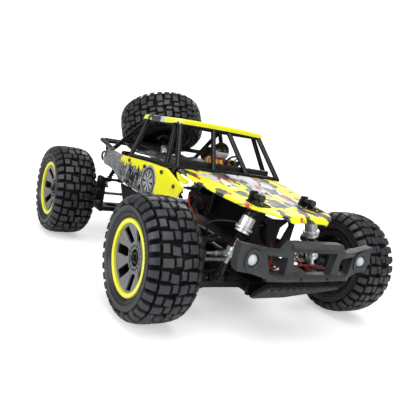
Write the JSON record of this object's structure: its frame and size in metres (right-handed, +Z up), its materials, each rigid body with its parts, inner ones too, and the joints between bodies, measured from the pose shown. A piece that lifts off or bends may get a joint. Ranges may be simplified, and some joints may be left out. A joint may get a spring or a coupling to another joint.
{
  "type": "rc buggy",
  "caption": "Four-wheel-drive radio-control desert buggy with tubular cage, driver figure, spare wheel on the rear stays, working steering, coil-over suspension and shaft drive.",
  "frame": {"origin": "on the ground, midway between the front and rear axles and between the left and right wheels", "axes": "+X forward, +Y to the left, +Z up"},
  "size_m": [0.432, 0.302, 0.2127],
  "materials": {
    "battery_pack": "shrink wrap",
    "cage_panels": "printed camouflage",
    "chassis_tub": "fine grain",
    "cockpit_insert": "satin",
    "control_unit": "satin",
    "damper_body": "knurled cap",
    "damper_rod": "polished",
    "drag_link": "satin",
    "drive_motor": "satin",
    "driveshaft": "satin",
    "fasteners": "black oxide",
    "front_bumper": "fine grain",
    "gearbox_cases": "fine grain",
    "headlamps": "clear dome",
    "hood_panel": "printed camouflage",
    "hub_carrier": "fine grain",
    "idler_crank": "satin",
    "knuckle": "fine grain",
    "lower_arm": "fine grain",
    "motor_pinion": "machined",
    "propshaft": "machined",
    "rim": "satin silver",
    "roll_cage": "satin",
    "servo_horn": "satin",
    "shock_towers": "fine grain",
    "spare_wheel": "matt",
    "spring": "gloss",
    "steering_servo": "satin",
    "tie_rod": "satin",
    "tyre": "matt",
    "upper_link": "fine grain"
  },
  "bodies": {
    "chassis": {"battery_pack": "battery_pack", "cage_panels": "cage_panels", "chassis_tub": "chassis_tub", "cockpit_insert": "cockpit_insert", "control_unit": "control_unit", "drive_motor": "drive_motor", "fasteners": "fasteners", "front_bumper": "front_bumper", "gearbox_cases": "gearbox_cases", "headlamps": "headlamps", "hood_panel": "hood_panel", "roll_cage": "roll_cage", "shock_towers": "shock_towers", "spare_wheel": "spare_wheel", "steering_servo": "steering_servo"},
    "lower_arm_fl": {"lower_arm_fl": "lower_arm"},
    "upper_link_fl": {"upper_link_fl": "upper_link"},
    "hub_carrier_fl": {"hub_carrier_fl": "hub_carrier"},
    "knuckle_fl": {"knuckle_fl": "knuckle"},
    "wheel_fl": {"tyre_fl": "tyre", "rim_fl": "rim"},
    "driveshaft_fl": {"driveshaft_fl": "driveshaft"},
    "damper_body_fl": {"damper_body_fl": "damper_body", "spring_fl": "spring"},
    "damper_rod_fl": {"damper_rod_fl": "damper_rod"},
    "lower_arm_fr": {"lower_arm_fr": "lower_arm"},
    "upper_link_fr": {"upper_link_fr": "upper_link"},
    "hub_carrier_fr": {"hub_carrier_fr": "hub_carrier"},
    "knuckle_fr": {"knuckle_fr": "knuckle"},
    "wheel_fr": {"tyre_fr": "tyre", "rim_fr": "rim"},
    "driveshaft_fr": {"driveshaft_fr": "driveshaft"},
    "damper_body_fr": {"damper_body_fr": "damper_body", "spring_fr": "spring"},
    "damper_rod_fr": {"damper_rod_fr": "damper_rod"},
    "lower_arm_rl": {"lower_arm_rl": "lower_arm"},
    "upper_link_rl": {"upper_link_rl": "upper_link"},
    "hub_carrier_rl": {"hub_carrier_rl": "hub_carrier"},
    "wheel_rl": {"tyre_rl": "tyre", "rim_rl": "rim"},
    "driveshaft_rl": {"driveshaft_rl": "driveshaft"},
    "damper_body_rl": {"damper_body_rl": "damper_body", "spring_rl": "spring"},
    "damper_rod_rl": {"damper_rod_rl": "damper_rod"},
    "lower_arm_rr": {"lower_arm_rr": "lower_arm"},
    "upper_link_rr": {"upper_link_rr": "upper_link"},
    "hub_carrier_rr": {"hub_carrier_rr": "hub_carrier"},
    "wheel_rr": {"tyre_rr": "tyre", "rim_rr": "rim"},
    "driveshaft_rr": {"driveshaft_rr": "driveshaft"},
    "damper_body_rr": {"damper_body_rr": "damper_body", "spring_rr": "spring"},
    "damper_rod_rr": {"damper_rod_rr": "damper_rod"},
    "servo_horn": {"servo_horn": "servo_horn"},
    "idler_crank": {"idler_crank": "idler_crank"},
    "drag_link": {"drag_link": "drag_link"},
    "tie_rod_l": {"tie_rod_l": "tie_rod"},
    "tie_rod_r": {"tie_rod_r": "tie_rod"},
    "propshaft": {"propshaft": "propshaft"},
    "motor_pinion": {"motor_pinion": "motor_pinion"}
  },
  "joints": [
    {"name": "suspension_fl", "type": "hinge", "parent": "chassis", "child": "lower_arm_fl", "pos_m": [0.1355, 0.02, 0.038], "axis": [1, 0, 0], "range_deg": [-5.5, 12], "stiffness_Nm_per_rad": 1.6, "springref_deg": -20.05},
    {"name": "upper_link_swing_fl", "type": "hinge", "parent": "chassis", "child": "upper_link_fl", "pos_m": [0.1355, 0.02, 0.077], "axis": [1, 0, 0], "range_deg": [-6, 12.5]},
    {"name": "carrier_pivot_fl", "type": "hinge", "parent": "lower_arm_fl", "child": "hub_carrier_fl", "pos_m": [0.1355, 0.076, 0.038], "axis": [1, 0, 0], "range_deg": [-12.5, 6]},
    {"name": "steer_fl", "type": "hinge", "parent": "hub_carrier_fl", "child": "knuckle_fl", "pos_m": [0.1355, 0.084, 0.0575], "axis": [0, 0, 1], "range_deg": [-20.5, 20.5]},
    {"name": "wheel_spin_fl", "type": "hinge", "parent": "knuckle_fl", "child": "wheel_fl", "pos_m": [0.1355, 0.1245, 0.0575], "axis": [0, 1, 0], "continuous": true},
    {"name": "driveshaft_spin_fl", "type": "hinge", "parent": "lower_arm_fl", "child": "driveshaft_fl", "pos_m": [0.1355, 0.05, 0.0575], "axis": [0, 1, 0], "continuous": true},
    {"name": "damper_swing_fl", "type": "hinge", "parent": "chassis", "child": "damper_body_fl", "pos_m": [0.156, 0.033, 0.126], "axis": [1, 0, 0], "range_deg": [-1.2, 1.43]},
    {"name": "damper_slide_fl", "type": "slide", "parent": "damper_body_fl", "child": "damper_rod_fl", "axis": [0, -0.3341, 0.9425], "range_m": [-0.00459, 0.0093], "deforming": ["spring_fl"]},
    {"name": "suspension_fr", "type": "hinge", "parent": "chassis", "child": "lower_arm_fr", "pos_m": [0.1355, -0.02, 0.038], "axis": [-1, 0, 0], "range_deg": [-5.5, 12], "stiffness_Nm_per_rad": 1.6, "springref_deg": -20.05},
    {"name": "upper_link_swing_fr", "type": "hinge", "parent": "chassis", "child": "upper_link_fr", "pos_m": [0.1355, -0.02, 0.077], "axis": [-1, 0, 0], "range_deg": [-6, 12.5]},
    {"name": "carrier_pivot_fr", "type": "hinge", "parent": "lower_arm_fr", "child": "hub_carrier_fr", "pos_m": [0.1355, -0.076, 0.038], "axis": [-1, 0, 0], "range_deg": [-12.5, 6]},
    {"name": "steer_fr", "type": "hinge", "parent": "hub_carrier_fr", "child": "knuckle_fr", "pos_m": [0.1355, -0.084, 0.0575], "axis": [0, 0, 1], "range_deg": [-20.5, 20.5]},
    {"name": "wheel_spin_fr", "type": "hinge", "parent": "knuckle_fr", "child": "wheel_fr", "pos_m": [0.1355, -0.1245, 0.0575], "axis": [0, 1, 0], "continuous": true},
    {"name": "driveshaft_spin_fr", "type": "hinge", "parent": "lower_arm_fr", "child": "driveshaft_fr", "pos_m": [0.1355, -0.05, 0.0575], "axis": [0, 1, 0], "continuous": true},
    {"name": "damper_swing_fr", "type": "hinge", "parent": "chassis", "child": "damper_body_fr", "pos_m": [0.156, -0.033, 0.126], "axis": [-1, 0, 0], "range_deg": [-1.2, 1.43]},
    {"name": "damper_slide_fr", "type": "slide", "parent": "damper_body_fr", "child": "damper_rod_fr", "axis": [0, 0.3341, 0.9425], "range_m": [-0.00459, 0.0093], "deforming": ["spring_fr"]},
    {"name": "suspension_rl", "type": "hinge", "parent": "chassis", "child": "lower_arm_rl", "pos_m": [-0.1355, 0.02, 0.038], "axis": [1, 0, 0], "range_deg": [-5.5, 12], "stiffness_Nm_per_rad": 1.6, "springref_deg": -20.05},
    {"name": "upper_link_swing_rl", "type": "hinge", "parent": "chassis", "child": "upper_link_rl", "pos_m": [-0.1355, 0.02, 0.077], "axis": [1, 0, 0], "range_deg": [-6, 12.5]},
    {"name": "carrier_pivot_rl", "type": "hinge", "parent": "lower_arm_rl", "child": "hub_carrier_rl", "pos_m": [-0.1355, 0.076, 0.038], "axis": [1, 0, 0], "range_deg": [-12.5, 6]},
    {"name": "wheel_spin_rl", "type": "hinge", "parent": "hub_carrier_rl", "child": "wheel_rl", "pos_m": [-0.1355, 0.1245, 0.0575], "axis": [0, 1, 0], "continuous": true},
    {"name": "driveshaft_spin_rl", "type": "hinge", "parent": "lower_arm_rl", "child": "driveshaft_rl", "pos_m": [-0.1355, 0.05, 0.0575], "axis": [0, 1, 0], "continuous": true},
    {"name": "damper_swing_rl", "type": "hinge", "parent": "chassis", "child": "damper_body_rl", "pos_m": [-0.156, 0.04, 0.114], "axis": [1, 0, 0], "range_deg": [-1.72, 2.56]},
    {"name": "damper_slide_rl", "type": "slide", "parent": "damper_body_rl", "child": "damper_rod_rl", "axis": [0, -0.4138, 0.9104], "range_m": [-0.00539, 0.01104], "deforming": ["spring_rl"]},
    {"name": "suspension_rr", "type": "hinge", "parent": "chassis", "child": "lower_arm_rr", "pos_m": [-0.1355, -0.02, 0.038], "axis": [-1, 0, 0], "range_deg": [-5.5, 12], "stiffness_Nm_per_rad": 1.6, "springref_deg": -20.05},
    {"name": "upper_link_swing_rr", "type": "hinge", "parent": "chassis", "child": "upper_link_rr", "pos_m": [-0.1355, -0.02, 0.077], "axis": [-1, 0, 0], "range_deg": [-6, 12.5]},
    {"name": "carrier_pivot_rr", "type": "hinge", "parent": "lower_arm_rr", "child": "hub_carrier_rr", "pos_m": [-0.1355, -0.076, 0.038], "axis": [-1, 0, 0], "range_deg": [-12.5, 6]},
    {"name": "wheel_spin_rr", "type": "hinge", "parent": "hub_carrier_rr", "child": "wheel_rr", "pos_m": [-0.1355, -0.1245, 0.0575], "axis": [0, 1, 0], "continuous": true},
    {"name": "driveshaft_spin_rr", "type": "hinge", "parent": "lower_arm_rr", "child": "driveshaft_rr", "pos_m": [-0.1355, -0.05, 0.0575], "axis": [0, 1, 0], "continuous": true},
    {"name": "damper_swing_rr", "type": "hinge", "parent": "chassis", "child": "damper_body_rr", "pos_m": [-0.156, -0.04, 0.114], "axis": [-1, 0, 0], "range_deg": [-1.72, 2.56]},
    {"name": "damper_slide_rr", "type": "slide", "parent": "damper_body_rr", "child": "damper_rod_rr", "axis": [0, 0.4138, 0.9104], "range_m": [-0.00539, 0.01104], "deforming": ["spring_rr"]},
    {"name": "steering", "type": "hinge", "parent": "chassis", "child": "servo_horn", "pos_m": [0.105, -0.014, 0.048], "axis": [0, 0, 1], "range_deg": [-20, 20]},
    {"name": "idler_swing", "type": "hinge", "parent": "chassis", "child": "idler_crank", "pos_m": [0.105, 0.014, 0.048], "axis": [0, 0, 1], "range_deg": [-20.5, 20.5]},
    {"name": "drag_link_pivot", "type": "hinge", "parent": "servo_horn", "child": "drag_link", "pos_m": [0.085, -0.014, 0.0507], "axis": [0, 0, 1], "range_deg": [-20.5, 20.5]},
    {"name": "tie_rod_swing_l", "type": "hinge", "parent": "drag_link", "child": "tie_rod_l", "pos_m": [0.1155, 0.028, 0.057], "axis": [1, 0, 0], "range_deg": [-6, 12.5]},
    {"name": "tie_rod_swing_r", "type": "hinge", "parent": "drag_link", "child": "tie_rod_r", "pos_m": [0.1155, -0.028, 0.057], "axis": [-1, 0, 0], "range_deg": [-6, 12.5]},
    {"name": "propshaft_spin", "type": "hinge", "parent": "chassis", "child": "propshaft", "pos_m": [0, 0, 0.046], "axis": [1, 0, 0], "continuous": true},
    {"name": "pinion_spin", "type": "hinge", "parent": "chassis", "child": "motor_pinion", "pos_m": [-0.07, -0.02163, 0.05], "axis": [1, 0, 0], "continuous": true}
  ],
  "couplings": [
    {"joint": "upper_link_swing_fl", "follows": "suspension_fl", "ratio": 1},
    {"joint": "carrier_pivot_fl", "follows": "suspension_fl", "ratio": -1},
    {"joint": "steer_fl", "follows": "steering", "ratio": 1},
    {"joint": "wheel_spin_fl", "follows": "wheel_spin_rl", "ratio": 1},
    {"joint": "driveshaft_spin_fl", "follows": "wheel_spin_rl", "ratio": 1},
    {"joint": "damper_swing_fl", "follows": "suspension_fl", "ratio": 0.03557},
    {"joint": "damper_slide_fl", "follows": "suspension_fl", "m_per_rad": 0.041542},
    {"joint": "upper_link_swing_fr", "follows": "suspension_fr", "ratio": 1},
    {"joint": "carrier_pivot_fr", "follows": "suspension_fr", "ratio": -1},
    {"joint": "steer_fr", "follows": "steering", "ratio": 1},
    {"joint": "wheel_spin_fr", "follows": "wheel_spin_rl", "ratio": 1},
    {"joint": "driveshaft_spin_fr", "follows": "wheel_spin_rl", "ratio": 1},
    {"joint": "damper_swing_fr", "follows": "suspension_fr", "ratio": 0.03557},
    {"joint": "damper_slide_fr", "follows": "suspension_fr", "m_per_rad": 0.041542},
    {"joint": "upper_link_swing_rl", "follows": "suspension_rl", "ratio": 1},
    {"joint": "carrier_pivot_rl", "follows": "suspension_rl", "ratio": -1},
    {"joint": "driveshaft_spin_rl", "follows": "wheel_spin_rl", "ratio": 1},
    {"joint": "damper_swing_rl", "follows": "suspension_rl", "ratio": 0.13002},
    {"joint": "damper_slide_rl", "follows": "suspension_rl", "m_per_rad": 0.049867},
    {"joint": "upper_link_swing_rr", "follows": "suspension_rr", "ratio": 1},
    {"joint": "carrier_pivot_rr", "follows": "suspension_rr", "ratio": -1},
    {"joint": "wheel_spin_rr", "follows": "wheel_spin_rl", "ratio": 1},
    {"joint": "driveshaft_spin_rr", "follows": "wheel_spin_rl", "ratio": 1},
    {"joint": "damper_swing_rr", "follows": "suspension_rr", "ratio": 0.13002},
    {"joint": "damper_slide_rr", "follows": "suspension_rr", "m_per_rad": 0.049867},
    {"joint": "idler_swing", "follows": "steering", "ratio": 1},
    {"joint": "drag_link_pivot", "follows": "steering", "ratio": -1},
    {"joint": "tie_rod_swing_l", "follows": "suspension_fl", "ratio": 1},
    {"joint": "tie_rod_swing_r", "follows": "suspension_fr", "ratio": 1},
    {"joint": "propshaft_spin", "follows": "wheel_spin_rl", "ratio": 2.6},
    {"joint": "pinion_spin", "follows": "wheel_spin_rl", "ratio": -7.05}
  ]
}
